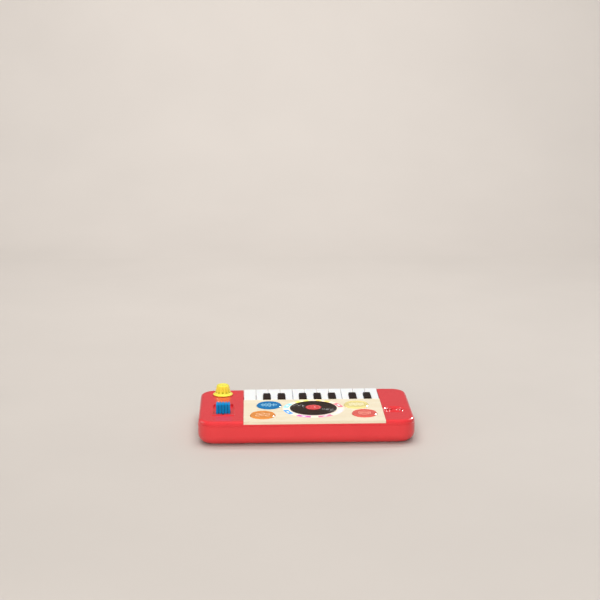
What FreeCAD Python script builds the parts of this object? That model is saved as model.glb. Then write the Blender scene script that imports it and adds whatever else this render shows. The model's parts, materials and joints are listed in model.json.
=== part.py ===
import FreeCAD, Part
import math
import os
import Sketcher

# Toy electronic keyboard: X runs along the keys to the player's right, Y away from the player, Z up.
# The feet stand on Z = 0 and the middle of the case is at X = 0, Y = 0. Everything is in millimetres.

doc = FreeCAD.newDocument("toy_keyboard")
sheet = doc.addObject("Spreadsheet::Sheet", "Dims")

sizes = [
    ("case_length", 351, "length of the case along the keys"),
    ("case_depth", 188, "depth of the case, player's side to rear"),
    ("foot_height", 1, "how far the rubber feet lift the case"),
    ("parting", 33, "height of the joint between base and cover"),
    ("case_top", 41, "height of the caps, board and white keys"),
    ("corner", 26, "plan radius of the case corners"),
    ("bottom_round", 16, "rounding along the bottom edge"),
    ("top_round", 6, "rounding along the top edge"),
    ("wall", 2.5, "moulded wall thickness"),
    ("bay_left", -126.6, "left end of board and keys"),
    ("bay_right", 101.9, "right end of board and keys"),
    ("board_front", -30, "front edge of the wooden board"),
    ("board_thick", 4.5, "thickness of the wooden board"),
    ("deck_thick", 2, "moulded deck under the board"),
    ("bay_gap", 0.25, "gap round the board"),
    ("key_front", -93.3, "front of the white keys"),
    ("key_pitch", 20.77, "white key spacing"),
    ("key_gap", 0.8, "gap between white keys"),
    ("pivot_y", -14, "Y of the key pivot rod"),
    ("pivot_height", 27.5, "height of the key pivot rod"),
    ("rod_radius", 1.5, "key pivot rod"),
    ("rod_play", 0.06, "radial clearance of a key on its rod"),
    ("black_width", 12, "black key width"),
    ("black_front", -64, "front of the black keys"),
    ("black_rise", 1.8, "how far black keys stand above the white"),
    ("disc_x", -13, "turntable centre"),
    ("disc_y", 23.5, "turntable centre"),
    ("disc_radius", 38.75, "turntable record"),
    ("label_radius", 12.8, "record label"),
    ("window_inner", 42, "inner radius of the light windows"),
    ("window_outer", 50, "outer radius of the light windows"),
    ("window_angle", 29, "angle that one light window covers"),
    ("button_radius", 20.5, "round buttons"),
    ("button_rise", 2, "how far the buttons stand proud"),
    ("button_travel", 1.5, "button stroke"),
    ("knob_x", 137.4, "volume knob centre"),
    ("knob_y", -67, "volume knob centre"),
    ("knob_height", 17.4, "volume knob height"),
    ("slide_x", 135.4, "slider centre line"),
    ("slide_y", 32.5, "slider at rest"),
    ("slide_fore", 26, "slider travel towards the player"),
    ("slide_aft", 10, "slider travel to the rear"),
    ("speaker_x", -146, "loudspeaker centre"),
    ("speaker_y", 32, "loudspeaker centre"),
    ("cell_radius", 7.2, "battery radius"),
    ("cell_length", 50, "battery length"),
]
for row, (alias, value, note) in enumerate(sizes, start=1):
    sheet.set("A%d" % row, note)
    sheet.set("B%d" % row, str(value))
    sheet.setAlias("B%d" % row, alias)
doc.recompute()

kept = []


def known(formula):
    """The number that a formula gives now."""
    result = sheet.evalExpression(formula)
    return float(getattr(result, "Value", result))


def full(formula):
    """A formula with the sheet's name put before each of its aliases."""
    words = formula
    for alias in sorted([s[0] for s in sizes], key=len, reverse=True):
        words = words.replace(alias, "@%d@" % [s[0] for s in sizes].index(alias))
    for index, entry in enumerate(sizes):
        words = words.replace("@%d@" % index, "Dims." + entry[0])
    return words


def bind(item, field, formula):
    item.setExpression(field, full(str(formula)))


def place(item, x, y, z):
    bind(item, "Placement.Base.x", x)
    bind(item, "Placement.Base.y", y)
    bind(item, "Placement.Base.z", z)


def box(name, x0, x1, y0, y1, z0, z1):
    item = doc.addObject("Part::Box", name)
    bind(item, "Length", "(%s) - (%s)" % (x1, x0))
    bind(item, "Width", "(%s) - (%s)" % (y1, y0))
    bind(item, "Height", "(%s) - (%s)" % (z1, z0))
    place(item, x0, y0, z0)
    return item


def cylinder(name, x, y, z0, z1, radius, along="z", angle=None):
    item = doc.addObject("Part::Cylinder", name)
    bind(item, "Radius", radius)
    bind(item, "Height", "(%s) - (%s)" % (z1, z0))
    if angle is not None:
        bind(item, "Angle", angle)
    if along == "x":
        item.Placement = FreeCAD.Placement(FreeCAD.Vector(), FreeCAD.Rotation(FreeCAD.Vector(0, 1, 0), 90))
        place(item, z0, x, y)
    else:
        place(item, x, y, z0)
    return item


def cone(name, x, y, z0, z1, low, high):
    item = doc.addObject("Part::Cone", name)
    bind(item, "Radius1", low)
    bind(item, "Radius2", high)
    bind(item, "Height", "(%s) - (%s)" % (z1, z0))
    place(item, x, y, z0)
    return item


def fuse(name, shapes):
    item = doc.addObject("Part::MultiFuse", name)
    item.Shapes = shapes
    item.Refine = True
    return item


def cut(name, base, tools):
    tool = tools[0] if len(tools) == 1 else fuse(name + "_tools", tools)
    item = doc.addObject("Part::Cut", name)
    item.Base = base
    item.Tool = tool
    item.Refine = True
    return item


def common(name, first, second):
    item = doc.addObject("Part::MultiCommon", name)
    item.Shapes = [first, second]
    return item


def keep(item, label):
    """Marks an object as one of the keyboard's pieces."""
    item.Label = label
    kept.append(item)
    return item


def new_body(name):
    return doc.addObject("PartDesign::Body", name)


turns = {
    "xy": FreeCAD.Rotation(),
    "xz": FreeCAD.Rotation(FreeCAD.Vector(1, 0, 0), 90),
    "yz": FreeCAD.Rotation(FreeCAD.Vector(1, 1, 1), 120),
}


def pin_point(sketch, index, end, x, y):
    """Ties one point of a sketch to the origin by two dimensions."""
    for kind, axis, formula in (("DistanceX", -2, x), ("DistanceY", -1, y)):
        size = known(full(str(formula)))
        if abs(size) < 1e-9:
            sketch.addConstraint(Sketcher.Constraint("PointOnObject", index, end, axis))
            continue
        number = sketch.addConstraint(Sketcher.Constraint(kind, -1, 1, index, end, size))
        bind(sketch, "Constraints[%d]" % number, formula)


def new_sketch(body, name, plane="xy", level="0"):
    sketch = body.newObject("Sketcher::SketchObject", name)
    sketch.Placement = FreeCAD.Placement(FreeCAD.Vector(), turns[plane])
    across = {"xy": "z", "xz": "y", "yz": "x"}[plane]
    bind(sketch, "Placement.Base." + across, level)
    return sketch


def outline(sketch, corners):
    spots = [FreeCAD.Vector(known(full(str(x))), known(full(str(y))), 0) for x, y in corners]
    first = sketch.GeometryCount
    count = len(spots)
    for index in range(count):
        sketch.addGeometry(Part.LineSegment(spots[index], spots[(index + 1) % count]), False)
    for index in range(count):
        following = first + (index + 1) % count
        sketch.addConstraint(Sketcher.Constraint("Coincident", first + index, 2, following, 1))
    for index, (x, y) in enumerate(corners):
        pin_point(sketch, first + index, 1, x, y)
    return sketch


def rectangle(sketch, x0, x1, y0, y1):
    return outline(sketch, [(x0, y0), (x1, y0), (x1, y1), (x0, y1)])


def ring_line(sketch, x, y, radius):
    centre = FreeCAD.Vector(known(full(str(x))), known(full(str(y))), 0)
    size = known(full(str(radius)))
    index = sketch.addGeometry(Part.Circle(centre, FreeCAD.Vector(0, 0, 1), size), False)
    number = sketch.addConstraint(Sketcher.Constraint("Radius", index, size))
    bind(sketch, "Constraints[%d]" % number, radius)
    pin_point(sketch, index, 3, x, y)
    return sketch


def pad(body, sketch, height):
    feature = body.newObject("PartDesign::Pad", sketch.Name + "_pad")
    feature.Profile = sketch
    bind(feature, "Length", height)
    return feature


def pocket(body, sketch, depth=None):
    feature = body.newObject("PartDesign::Pocket", sketch.Name + "_pocket")
    feature.Profile = sketch
    if depth is None:
        feature.Type = "ThroughAll"
        feature.Midplane = True
    else:
        bind(feature, "Length", depth)
    return feature


def revolve(body, sketch, angle=360, centred=False):
    feature = body.newObject("PartDesign::Revolution", sketch.Name + "_turn")
    feature.Profile = sketch
    feature.ReferenceAxis = (sketch, ["V_Axis"])
    feature.Angle = angle
    feature.Midplane = centred
    return feature


def around(body, feature, sketch, count):
    pattern = body.newObject("PartDesign::PolarPattern", feature.Name + "_around")
    pattern.Originals = [feature]
    pattern.Axis = (sketch, ["N_Axis"])
    pattern.Angle = 360
    pattern.Occurrences = count
    body.Tip = pattern
    return pattern


def round_edges(body, feature, radius, wanted):
    doc.recompute()
    names = []
    for index, edge in enumerate(feature.Shape.Edges, start=1):
        if wanted(edge.BoundBox, edge):
            names.append("Edge%d" % index)
    fillet = body.newObject("PartDesign::Fillet", feature.Name + "_round")
    fillet.Base = (feature, names)
    bind(fillet, "Radius", radius)
    return fillet


def upright(bounds, edge):
    return bounds.XLength < 1e-5 and bounds.YLength < 1e-5


def at_height(level):
    height = known(full(str(level)))
    return lambda bounds, edge: bounds.ZLength < 1e-5 and abs(bounds.ZMin - height) < 1e-5


def rounded_block(name, x, y, length, depth, z0, z1, corner, low=None, high=None):
    """A block with rounded plan corners, and its lower or upper rim rounded too."""
    body = new_body(name)
    sketch = new_sketch(body, name + "_plan", "xy", z0)
    rectangle(sketch, "(%s) - (%s) / 2" % (x, length), "(%s) + (%s) / 2" % (x, length),
              "(%s) - (%s) / 2" % (y, depth), "(%s) + (%s) / 2" % (y, depth))
    last = pad(body, sketch, "(%s) - (%s)" % (z1, z0))
    last = round_edges(body, last, corner, upright)
    if low is not None:
        last = round_edges(body, last, low, at_height(z0))
    if high is not None:
        last = round_edges(body, last, high, at_height(z1))
    doc.recompute()
    return body


def turned(name, profile, x, y):
    """A body of revolution about its own upright axis: profile is a list of (radius, height)."""
    body = new_body(name)
    sketch = new_sketch(body, name + "_profile", "xz")
    outline(sketch, profile)
    revolve(body, sketch)
    place(body, x, y, 0)
    return body


# where things stand
black_places = {1: -1.5, 2: 2.5, 4: -4, 5: 0, 6: 4, 8: -1.5, 9: 2.5}
white_names = ["c1", "d1", "e1", "f1", "g1", "a1", "b1", "c2", "d2", "e2", "f2"]
black_names = {1: "cs1", 2: "ds1", 4: "fs1", 5: "gs1", 6: "as1", 8: "cs2", 9: "ds2"}
buttons = {
    "blue": ("60", "4.6"),
    "orange": ("71", "58.9"),
    "yellow": ("-85", "6.4"),
    "coral": ("-95", "55.4"),
}
screw_spots = [(-155, -55), (-155, 68), (155, 68), (160, -30), (115, -78), (-60, 82), (45, 82)]
foot_spots = [(-145, -64), (-145, 64), (145, -64), (145, 64)]
board_spots = [(-70, 35), (-70, 75), (45, 35), (45, 75)]
black_gap = 0.6
slot_clear = 0.25

# ---- base shell ----
outer = rounded_block("base_outer", "0", "0", "case_length", "case_depth", "foot_height", "parting",
                      "corner", low="bottom_round", high="0.7")
inner = rounded_block("base_inner", "0", "0", "case_length - 2 * wall", "case_depth - 2 * wall",
                      "foot_height + wall", "parting + 1", "corner - wall", low="bottom_round - wall")
shell = cut("base_hollow", outer, [inner])
floor_top = "foot_height + wall - 0.1"
posts = [shell]
for index, (x, y) in enumerate(screw_spots):
    posts.append(cylinder("screw_post_%d" % index, x, y, floor_top, "parting", "4"))
for index, (x, y) in enumerate(board_spots):
    posts.append(cylinder("board_post_%d" % index, x, y, floor_top, "12", "3.5"))
for name, (x, y) in buttons.items():
    posts.append(cylinder("guide_post_" + name, x, y, floor_top, "29", "5"))
for index, x in enumerate((-118, -40, 40, 94)):
    for side, y in enumerate((-80, -8)):
        posts.append(cylinder("bed_post_%d_%d" % (index, side), x, y, floor_top, "21", "4"))
for index, y in enumerate((0, 58)):
    posts.append(cylinder("slide_post_%d" % index, "slide_x", y, floor_top, "24", "3.5"))
posts.append(cylinder("door_post", "0", "-10", floor_top, "12", "3.2"))
posts.append(box("cell_box", "-30", "30", "-63", "-13", floor_top, "20.5"))
solid_base = fuse("base_solid", posts)
holes = [
    box("cell_room", "-28", "28", "-61", "-15", "0", "19.3"),
    box("door_seat", "-31", "31", "-65.5", "-6", "0", "foot_height + 1.5"),
    box("key_notch", "bay_left - bay_gap", "bay_right + bay_gap", "-95", "-91.4", "27", "34"),
    cylinder("door_screw_hole", "0", "-10", "0", "10", "0.9"),
]
for index, (x, y) in enumerate(screw_spots):
    holes.append(cylinder("screw_bore_%d" % index, x, y, "0", "34", "1.6"))
    holes.append(cylinder("screw_sink_%d" % index, x, y, "0", "foot_height + 6", "3"))
for index, (x, y) in enumerate(foot_spots):
    holes.append(cylinder("foot_seat_%d" % index, x, y, "0", "foot_height + 0.8", "6.1"))
for index, (x, y) in enumerate(board_spots):
    holes.append(cylinder("board_bore_%d" % index, x, y, "6", "13", "1"))
for name, (x, y) in buttons.items():
    holes.append(cylinder("guide_bore_" + name, x, y, "20", "30", "3.06"))
keep(cut("base_shell_body", solid_base, holes), "base_shell")

# ---- top cover: two red caps, the deck under the board and the cheeks beside the keys ----
cover_outer = rounded_block("cover_outer", "0", "0", "case_length - 0.7", "case_depth - 0.4", "parting",
                            "case_top", "corner - 0.2", low="0.5", high="top_round")
cover_inner = rounded_block("cover_inner", "0", "0", "case_length - 2 * wall", "case_depth - 2 * wall",
                            "parting - 1", "case_top - wall", "corner - wall", high="top_round - wall")
cover_skin = cut("cover_skin", cover_outer, [cover_inner])
bay_block = box("bay_block", "bay_left - bay_gap - wall", "bay_right + bay_gap + wall", "-95", "95",
                "parting", "case_top")
bay_solid = common("bay_solid", cover_outer, bay_block)
slide_pan = rounded_block("slide_pan", "slide_x", "26", "37.4", "64.4", "case_top - 4", "case_top - 1", "5")
bead = rounded_block("slide_bead", "slide_x", "26", "37.4", "64.4", "case_top - 1", "case_top + 1.1", "5",
                     high="1")
cover_parts = [cover_skin, bay_solid, slide_pan, bead]
cover_parts.append(turned("speaker_collar", [
    ("16.2", "35"), ("17.4", "35"), ("17.4", "38.7"), ("16.2", "38.7")], "speaker_x", "speaker_y"))
cover_parts.append(turned("speaker_seat", [
    ("13.2", "37.2"), ("14.6", "37.2"), ("14.6", "38.7"), ("13.2", "38.7")], "speaker_x", "speaker_y"))
for index, (x, y) in enumerate(screw_spots):
    top = "case_top - board_thick - 1" if abs(x) < 100 else "case_top - 2"
    cover_parts.append(cylinder("cover_post_%d" % index, x, y, "parting", top, "4"))
for index, degrees in enumerate((0, 90, 180, 270)):
    x = "disc_x + 37.5 * cos(%d deg)" % degrees
    y = "disc_y + 37.5 * sin(%d deg)" % degrees
    cover_parts.append(cylinder("ring_post_%d" % index, x, y, "32.2", "35", "2"))
cover_solid = fuse("cover_solid", cover_parts)

deck_top = "case_top - board_thick"
deck_low = "case_top - board_thick - deck_thick"
sectors = []
for index in range(8):
    sector = doc.addObject("Part::Cylinder", "window_sector_%d" % index)
    bind(sector, "Radius", "window_outer + %g" % slot_clear)
    sector.Height = 20
    bind(sector, "Angle", "window_angle + 0.6")
    start = FreeCAD.Rotation(FreeCAD.Vector(0, 0, 1), 45 * index + 22.5 - 14.8)
    sector.Placement = FreeCAD.Placement(FreeCAD.Vector(), start)
    place(sector, "disc_x", "disc_y", "26")
    sectors.append(sector)
window_core = cylinder("window_core", "disc_x", "disc_y", "25", "47", "window_inner - %g" % slot_clear)
windows = cut("windows", fuse("window_sectors", sectors), [window_core])

openings = [
    box("board_room", "bay_left - bay_gap", "bay_right + bay_gap", "board_front", "96", deck_top, "44"),
    box("key_room", "bay_left - bay_gap", "bay_right + bay_gap", "-96", "board_front + 0.1", "32", "44"),
    box("under_deck", "bay_left - bay_gap", "bay_right + bay_gap", "board_front - 1",
        "case_depth / 2 - wall", "32", deck_low),
    cylinder("bush_seat", "disc_x", "disc_y", "33", "40", "6"),
    cylinder("knob_dish_seat", "knob_x", "knob_y", "case_top - 1", "case_top + 1", "18"),
    cone("knob_dish_slope", "knob_x", "knob_y", "case_top - 1", "case_top", "18", "22.6"),
    cylinder("knob_bush_hole", "knob_x", "knob_y", "36", "case_top + 1", "4.6"),
    rounded_block("slide_room", "slide_x", "26", "33", "60", "case_top - 2.5", "case_top + 2", "4"),
    box("slide_slot", "slide_x - 1.6", "slide_x + 1.6", "slide_y - slide_fore - 1.9",
        "slide_y + slide_aft + 1.9", "case_top - 6", "case_top"),
]
for name, (x, y) in buttons.items():
    openings.append(cylinder("button_hole_" + name, x, y, "33.5", "44", "button_radius + 0.4"))
for index, (x, y) in enumerate(screw_spots):
    openings.append(cylinder("cover_bore_%d" % index, x, y, "32", "34.6", "1.3"))
cover_open = cut("cover_open", cover_solid, openings + [windows])

# the loudspeaker grille: a dish with concentric ripples and ring slots held by four ribs
dish = turned("grille_dish", [("0", "case_top - 1.6"), ("15.9", "case_top - 1.6"), ("17.7", "case_top"),
                              ("17.7", "case_top + 3"), ("0", "case_top + 3")], "speaker_x", "speaker_y")
slot_rings = []
for index, (radius, wide) in enumerate(((4.6, 2.2), (10.9, 1.6))):
    ring = turned("grille_slot_%d" % index, [(radius, "36"), (radius + wide, "36"), (radius + wide, "44"),
                                            (radius, "44")], "speaker_x", "speaker_y")
    slot_rings.append(ring)
ribs = [
    box("rib_x", "speaker_x - 18", "speaker_x + 18", "speaker_y - 0.9", "speaker_y + 0.9", "35", "45"),
    box("rib_y", "speaker_x - 0.9", "speaker_x + 0.9", "speaker_y - 18", "speaker_y + 18", "35", "45"),
]
slots = cut("grille_slots", fuse("grille_rings", slot_rings), [fuse("grille_ribs", ribs)])


def ripple(name, middle, half, rise):
    """A rounded ring in the grille dish."""
    profile = []
    for step in range(9):
        turn = math.radians(22.5 * step)
        profile.append(("%.3f" % (middle + half * math.cos(turn)),
                        "case_top - 1.7 + %.3f" % (rise * math.sin(turn))))
    return turned(name, profile, "speaker_x", "speaker_y")


dome = turned("grille_dome", [("0", "case_top - 2"), ("4.4", "case_top - 2"), ("4.2", "case_top - 1.2"),
                              ("3.6", "case_top - 0.6"), ("2.5", "case_top - 0.1"), ("0", "case_top + 0.1")],
              "speaker_x", "speaker_y")
waves = [ripple("grille_wave_inner", 8.8, 1.8, 1.9), ripple("grille_wave_outer", 14.3, 1.6, 1.8), dome]
grille_cut = cut("cover_dished", cover_open, [dish, slots])
keep(fuse("top_cover_body", [grille_cut] + waves), "top_cover")

# ---- wooden board ----
board_blank = rounded_block("board_blank", "(bay_left + bay_right) / 2", "(board_front + 93.8) / 2",
                            "bay_right - bay_left", "93.8 - board_front", deck_top, "case_top", "0.6")
board_tools = [windows, cylinder("spindle_hole", "disc_x", "disc_y", "30", "45", "4.6")]
for name, (x, y) in buttons.items():
    board_tools.append(cylinder("board_hole_" + name, x, y, "33", "45", "button_radius + 0.4"))
keep(cut("wood_panel_body", board_blank, board_tools), "wood_panel")


# ---- keys ----
def finish_key(body, label, x, neck, head_low, roof):
    """The parts that white and black keys share: plunger, tail and pivot bore."""
    middle = (neck[0] + neck[1]) / 2
    plunger = new_sketch(body, label + "_plunger", "xy", "28.2")
    rectangle(plunger, middle - 2.5, middle + 2.5, -58, -54)
    pad(body, plunger, roof - 28)
    riser = new_sketch(body, label + "_riser", "xy", "25")
    rectangle(riser, neck[0], neck[1], -38, "board_front - 0.3")
    pad(body, riser, "%g - 25" % (head_low + 0.2))
    tail = new_sketch(body, label + "_tail", "xy", "25")
    rectangle(tail, neck[0], neck[1], "board_front - 1", -6)
    pad(body, tail, 5.5)
    bore = new_sketch(body, label + "_bore", "yz")
    ring_line(bore, "pivot_y", "pivot_height", "rod_radius + rod_play")
    pocket(body, bore)
    place(body, x, 0, 0)
    keep(body, label)


def notch_edges(index, side):
    """How far a black key's notch eats into this white key on one side, from the key's middle."""
    boundary = index + (1 if side > 0 else 0)
    half = known("Dims.key_pitch") / 2
    if boundary not in black_places:
        return side * (half - known("Dims.key_gap") / 2)
    offset = black_places[boundary]
    return side * half + offset - side * (known("Dims.black_width") / 2 + black_gap)


pitch = known("Dims.key_pitch")
half_width = pitch / 2 - known("Dims.key_gap") / 2
dome_places = []
for index, note in enumerate(white_names):
    label = "white_key_" + note
    x = known("Dims.bay_left") + (index + 0.5) * pitch
    neck = (notch_edges(index, -1), notch_edges(index, 1))
    body = new_body(label + "_body")
    plan = new_sketch(body, label + "_plan", "xy", "35")
    notch_y = "black_front - 0.7"
    corners = [(-half_width, "key_front"), (half_width, "key_front")]
    if neck[1] < half_width - 0.01:
        corners += [(half_width, notch_y), (neck[1], notch_y)]
    corners += [(neck[1], "board_front - 0.3"), (neck[0], "board_front - 0.3")]
    if neck[0] > 0.01 - half_width:
        corners += [(neck[0], notch_y), (-half_width, notch_y)]
    outline(plan, corners)
    head = pad(body, plan, "case_top - 35")
    round_edges(body, head, "0.8", at_height("case_top"))
    doc.recompute()
    lip = new_sketch(body, label + "_lip", "xy", "31")
    rectangle(lip, -half_width, half_width, "key_front", "key_front + 1.9")
    pad(body, lip, 4.2)
    hollow = new_sketch(body, label + "_hollow", "xy", "39")
    rectangle(hollow, 1.5 - half_width, half_width - 1.5, "key_front + 1.9", "black_front - 2.2")
    pocket(body, hollow, 5)
    under = new_sketch(body, label + "_under", "xy", "38.6")
    rectangle(under, neck[0] + 1.5, neck[1] - 1.5, "black_front - 2.3", -40)
    pocket(body, under, 5)
    finish_key(body, label, x, neck, 35, 38.6)
    dome_places.append(x + (neck[0] + neck[1]) / 2)

black_half = known("Dims.black_width") / 2
for boundary, note in black_names.items():
    label = "black_key_" + note
    x = known("Dims.bay_left") + boundary * pitch + black_places[boundary]
    body = new_body(label + "_body")
    plan = new_sketch(body, label + "_plan", "xy", "31")
    rectangle(plan, -black_half, black_half, "black_front", "board_front - 0.4")
    head = pad(body, plan, "case_top + black_rise - 31")
    corners_round = round_edges(
        body, head, "1.4", lambda bounds, edge: upright(bounds, edge) and bounds.YMax < -50)
    round_edges(body, corners_round, "0.7", at_height("case_top + black_rise"))
    doc.recompute()
    under = new_sketch(body, label + "_under", "xy", "39.5")
    rectangle(under, 1.6 - black_half, black_half - 1.6, "black_front + 1.8", -40)
    pocket(body, under, 9)
    finish_key(body, label, x, (-5, 5), 31, 39.5)
    dome_places.append(x)

# ---- key bed, pivot rod and the switch parts under the keys ----
bed_parts = [
    box("bed_plate", "-131", "106.3", "-90.8", "-5", "21", "23"),
    box("bed_stop", "-124", "100", "-90.8", "-85", "22.5", "30"),
]
for index, (x0, x1) in enumerate(((-131, -128), (103.3, 106.3))):
    bed_parts.append(box("bed_bracket_%d" % index, x0, x1, "pivot_y - 5", "pivot_y + 5", "22.5", "31.5"))
bed_holes = [cylinder("rod_seat", "pivot_y", "pivot_height", "-132", "108", "rod_radius", along="x")]
keep(cut("key_bed_body", fuse("bed_solid", bed_parts), bed_holes), "key_bed")
keep(cylinder("rod_bar", "pivot_y", "pivot_height", "-131", "106.3", "rod_radius", along="x"),
     "key_pivot_rod")
felts = doc.addObject("Part::Compound", "felt_pair")
felts.Links = [
    box("felt_front", "-123", "99", "-90", "-86", "30", "31.8"),
    box("felt_rear", "-124", "99.6", "-9.8", "-6.4", "23", "24.9"),
]
keep(felts, "key_felt_strips")
keep(box("contact_plate", "-124", "99.6", "-70", "-44", "23", "24.6"), "key_contact_board")
domes = [box("dome_web", "-123", "98.6", "-62", "-50", "24.6", "25.4")]
for index, x in enumerate(dome_places):
    domes.append(cone("dome_%d" % index, x, -56, "25.3", "28.1", "4.2", "2.4"))
keep(fuse("dome_strip_body", domes), "key_dome_strip")

# ---- turntable ----
record_profile = [("4", "case_top + 0.5"), ("disc_radius - 0.8", "case_top + 0.5"),
                  ("disc_radius", "case_top + 0.9"), ("disc_radius", "case_top + 1.2"),
                  ("disc_radius - 1.4", "case_top + 2")]
groove = known("Dims.disc_radius") - 2.2
while groove > known("Dims.label_radius") + 3:
    record_profile += [(groove, "case_top + 2"), (groove - 0.3, "case_top + 1.75"),
                       (groove - 0.6, "case_top + 2")]
    groove -= 2.4
record_profile += [("4", "case_top + 2")]
keep(turned("record_body", record_profile, "disc_x", "disc_y"), "turntable_disc")
keep(turned("label_body", [("0", "case_top + 2"), ("label_radius", "case_top + 2"),
                           ("label_radius", "case_top + 2.4"), ("label_radius - 0.3", "case_top + 2.6"),
                           ("2", "case_top + 2.6"), ("1.6", "case_top + 3.1"), ("0", "case_top + 3.2")],
            "disc_x", "disc_y"), "turntable_label")
keep(turned("spindle_body", [("0", "14"), ("4", "14"), ("4", "15"), ("3.2", "15"), ("3.2", "16"), ("4", "16"),
                             ("4", "case_top + 2"), ("0", "case_top + 2")], "disc_x", "disc_y"),
     "turntable_spindle")
keep(turned("bush_body", [("4.05", "30.5"), ("6", "30.5"), ("6", "33"), ("8.5", "33"), ("8.5", deck_low),
                          ("6", deck_low), ("6", deck_top), ("4.05", deck_top)], "disc_x", "disc_y"),
     "spindle_bush")
keep(turned("clip_body", [("3.2", "15.1"), ("6", "15.1"), ("6", "15.9"), ("3.2", "15.9")],
            "disc_x", "disc_y"), "spindle_clip")
wheel = new_body("encoder_body")
wheel_plan = new_sketch(wheel, "encoder_plan", "xy", "17.5")
ring_line(wheel_plan, "0", "0", "15")
ring_line(wheel_plan, "0", "0", "4")
pad(wheel, wheel_plan, 1.5)
slit = new_sketch(wheel, "encoder_slit", "xy", "19")
rectangle(slit, "11", "14", "-0.6", "0.6")
slit_cut = pocket(wheel, slit, 1.5)
around(wheel, slit_cut, slit, 24)
place(wheel, "disc_x", "disc_y", "0")
keep(wheel, "encoder_wheel")
eye = box("eye_block", "disc_x - 5", "disc_x + 5", "disc_y + 12.5", "disc_y + 20", "13.6", "23")
eye_slot = box("eye_slot", "disc_x - 6", "disc_x + 6", "disc_y + 12", "disc_y + 16.5", "16.5", "20")
eye_step = box("eye_step", "disc_x - 6", "disc_x + 6", "disc_y + 10", "disc_y + 13", "13", "24")
keep(cut("eye_body", eye, [eye_slot, eye_step]), "photo_interrupter")

# ---- lights round the turntable ----
guide = new_body("light_guide_body")
guide_ring = new_sketch(guide, "guide_ring", "xz")
guide_top = deck_low + " - 0.05"
outline(guide_ring, [("window_inner - 1.5", "33.2"), ("window_outer + 1.2", "33.2"),
                     ("window_outer + 1.2", guide_top), ("window_inner - 1.5", guide_top)])
revolve(guide, guide_ring)
guide_stud = new_sketch(guide, "guide_stud", "xz")
outline(guide_stud, [("window_inner", "34"), ("window_outer", "34"), ("window_outer", "case_top + 0.1"),
                     ("window_inner", "case_top + 0.1")])
stud = revolve(guide, guide_stud, known("Dims.window_angle"), centred=True)
turn_plan = new_sketch(guide, "guide_axis", "xy")
around(guide, stud, turn_plan, 8)
guide.Placement = FreeCAD.Placement(FreeCAD.Vector(), FreeCAD.Rotation(FreeCAD.Vector(0, 0, 1), 22.5))
place(guide, "disc_x", "disc_y", "0")
keep(guide, "light_guide_ring")
keep(turned("ring_board_blank", [("35", "31"), ("51.2", "31"), ("51.2", "32.2"), ("35", "32.2")],
            "disc_x", "disc_y"), "led_ring_board")
lamps = doc.addObject("Part::Compound", "lamp_set")
lamp_list = []
for index in range(8):
    x = "disc_x + 46 * cos(%g deg)" % (45 * index + 22.5)
    y = "disc_y + 46 * sin(%g deg)" % (45 * index + 22.5)
    lamp_list.append(cylinder("lamp_%d" % index, x, y, "32.2", "33.1", "1.8"))
lamps.Links = lamp_list
keep(lamps, "leds")

# ---- round buttons with their return pads ----
for name, (x, y) in buttons.items():
    cap = turned("button_cap_" + name, [
        ("0", "26"), ("3", "26"), ("3", "32.9"), ("button_radius + 1.1", "32.9"),
        ("button_radius + 1.1", deck_low + " - 0.2"), ("button_radius", deck_low + " - 0.2"),
        ("button_radius", "case_top + button_rise - 1.2"), ("button_radius - 1.2", "case_top + button_rise"),
        ("button_radius - 2.6", "case_top + button_rise"),
        ("button_radius - 3.2", "case_top + button_rise - 0.4"),
        ("0", "case_top + button_rise - 0.4")], x, y)
    keep(cap, "button_" + name)
pads = doc.addObject("Part::Compound", "pad_set")
pad_list = []
for name, (x, y) in buttons.items():
    pad_list.append(turned("button_pad_" + name, [("3.3", "29"), ("5", "29"), ("5", "30"), ("4.2", "32.8"),
                                                  ("3.3", "32.8")], x, y))
pads.Links = pad_list
keep(pads, "button_return_pads")

# ---- volume knob ----
knob = new_body("knob_body")
knob_profile = new_sketch(knob, "knob_profile", "xz")
outline(knob_profile, [
    ("0", "case_top + 10.5"), ("3", "case_top + 10.5"), ("3", "case_top - 0.6"), ("16.4", "case_top - 0.6"),
    ("16.9", "case_top + 0.5"), ("15.4", "case_top + 1.8"), ("13.7", "case_top + 3.4"),
    ("12.8", "case_top + 5.2"), ("10.9", "case_top + knob_height - 3.4"),
    ("10.2", "case_top + knob_height - 1.6"), ("9", "case_top + knob_height - 0.8"),
    ("7.9", "case_top + knob_height - 0.7"), ("7.1", "case_top + knob_height - 1.3"),
    ("0", "case_top + knob_height - 1.3")])
revolve(knob, knob_profile)
flute_plan = new_sketch(knob, "knob_flute", "xy", "case_top + knob_height + 1")
ring_line(flute_plan, "12.2", "0", "1.9")
flute = pocket(knob, flute_plan, "knob_height - 2.8")
around(knob, flute, flute_plan, 12)
place(knob, "knob_x", "knob_y", "0")
keep(knob, "volume_knob")
shaft = cylinder("shaft_bar", "knob_x", "knob_y", "31", "case_top + 10.4", "3")
shaft_flat = box("shaft_flat", "knob_x + 2.2", "knob_x + 4", "knob_y - 4", "knob_y + 4", "44", "53")
keep(cut("shaft_body", shaft, [shaft_flat]), "knob_shaft")
pot_parts = [
    box("pot_case", "knob_x - 8.5", "knob_x + 8.5", "knob_y - 8.5", "knob_y + 8.5", "29", "37.6"),
    cylinder("pot_bush", "knob_x", "knob_y", "37", "case_top - 1", "4.5"),
]
pot_bore = cylinder("pot_bore", "knob_x", "knob_y", "30.5", "case_top", "3.05")
keep(cut("pot_body", fuse("pot_solid", pot_parts), [pot_bore]), "volume_potentiometer")

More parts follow.
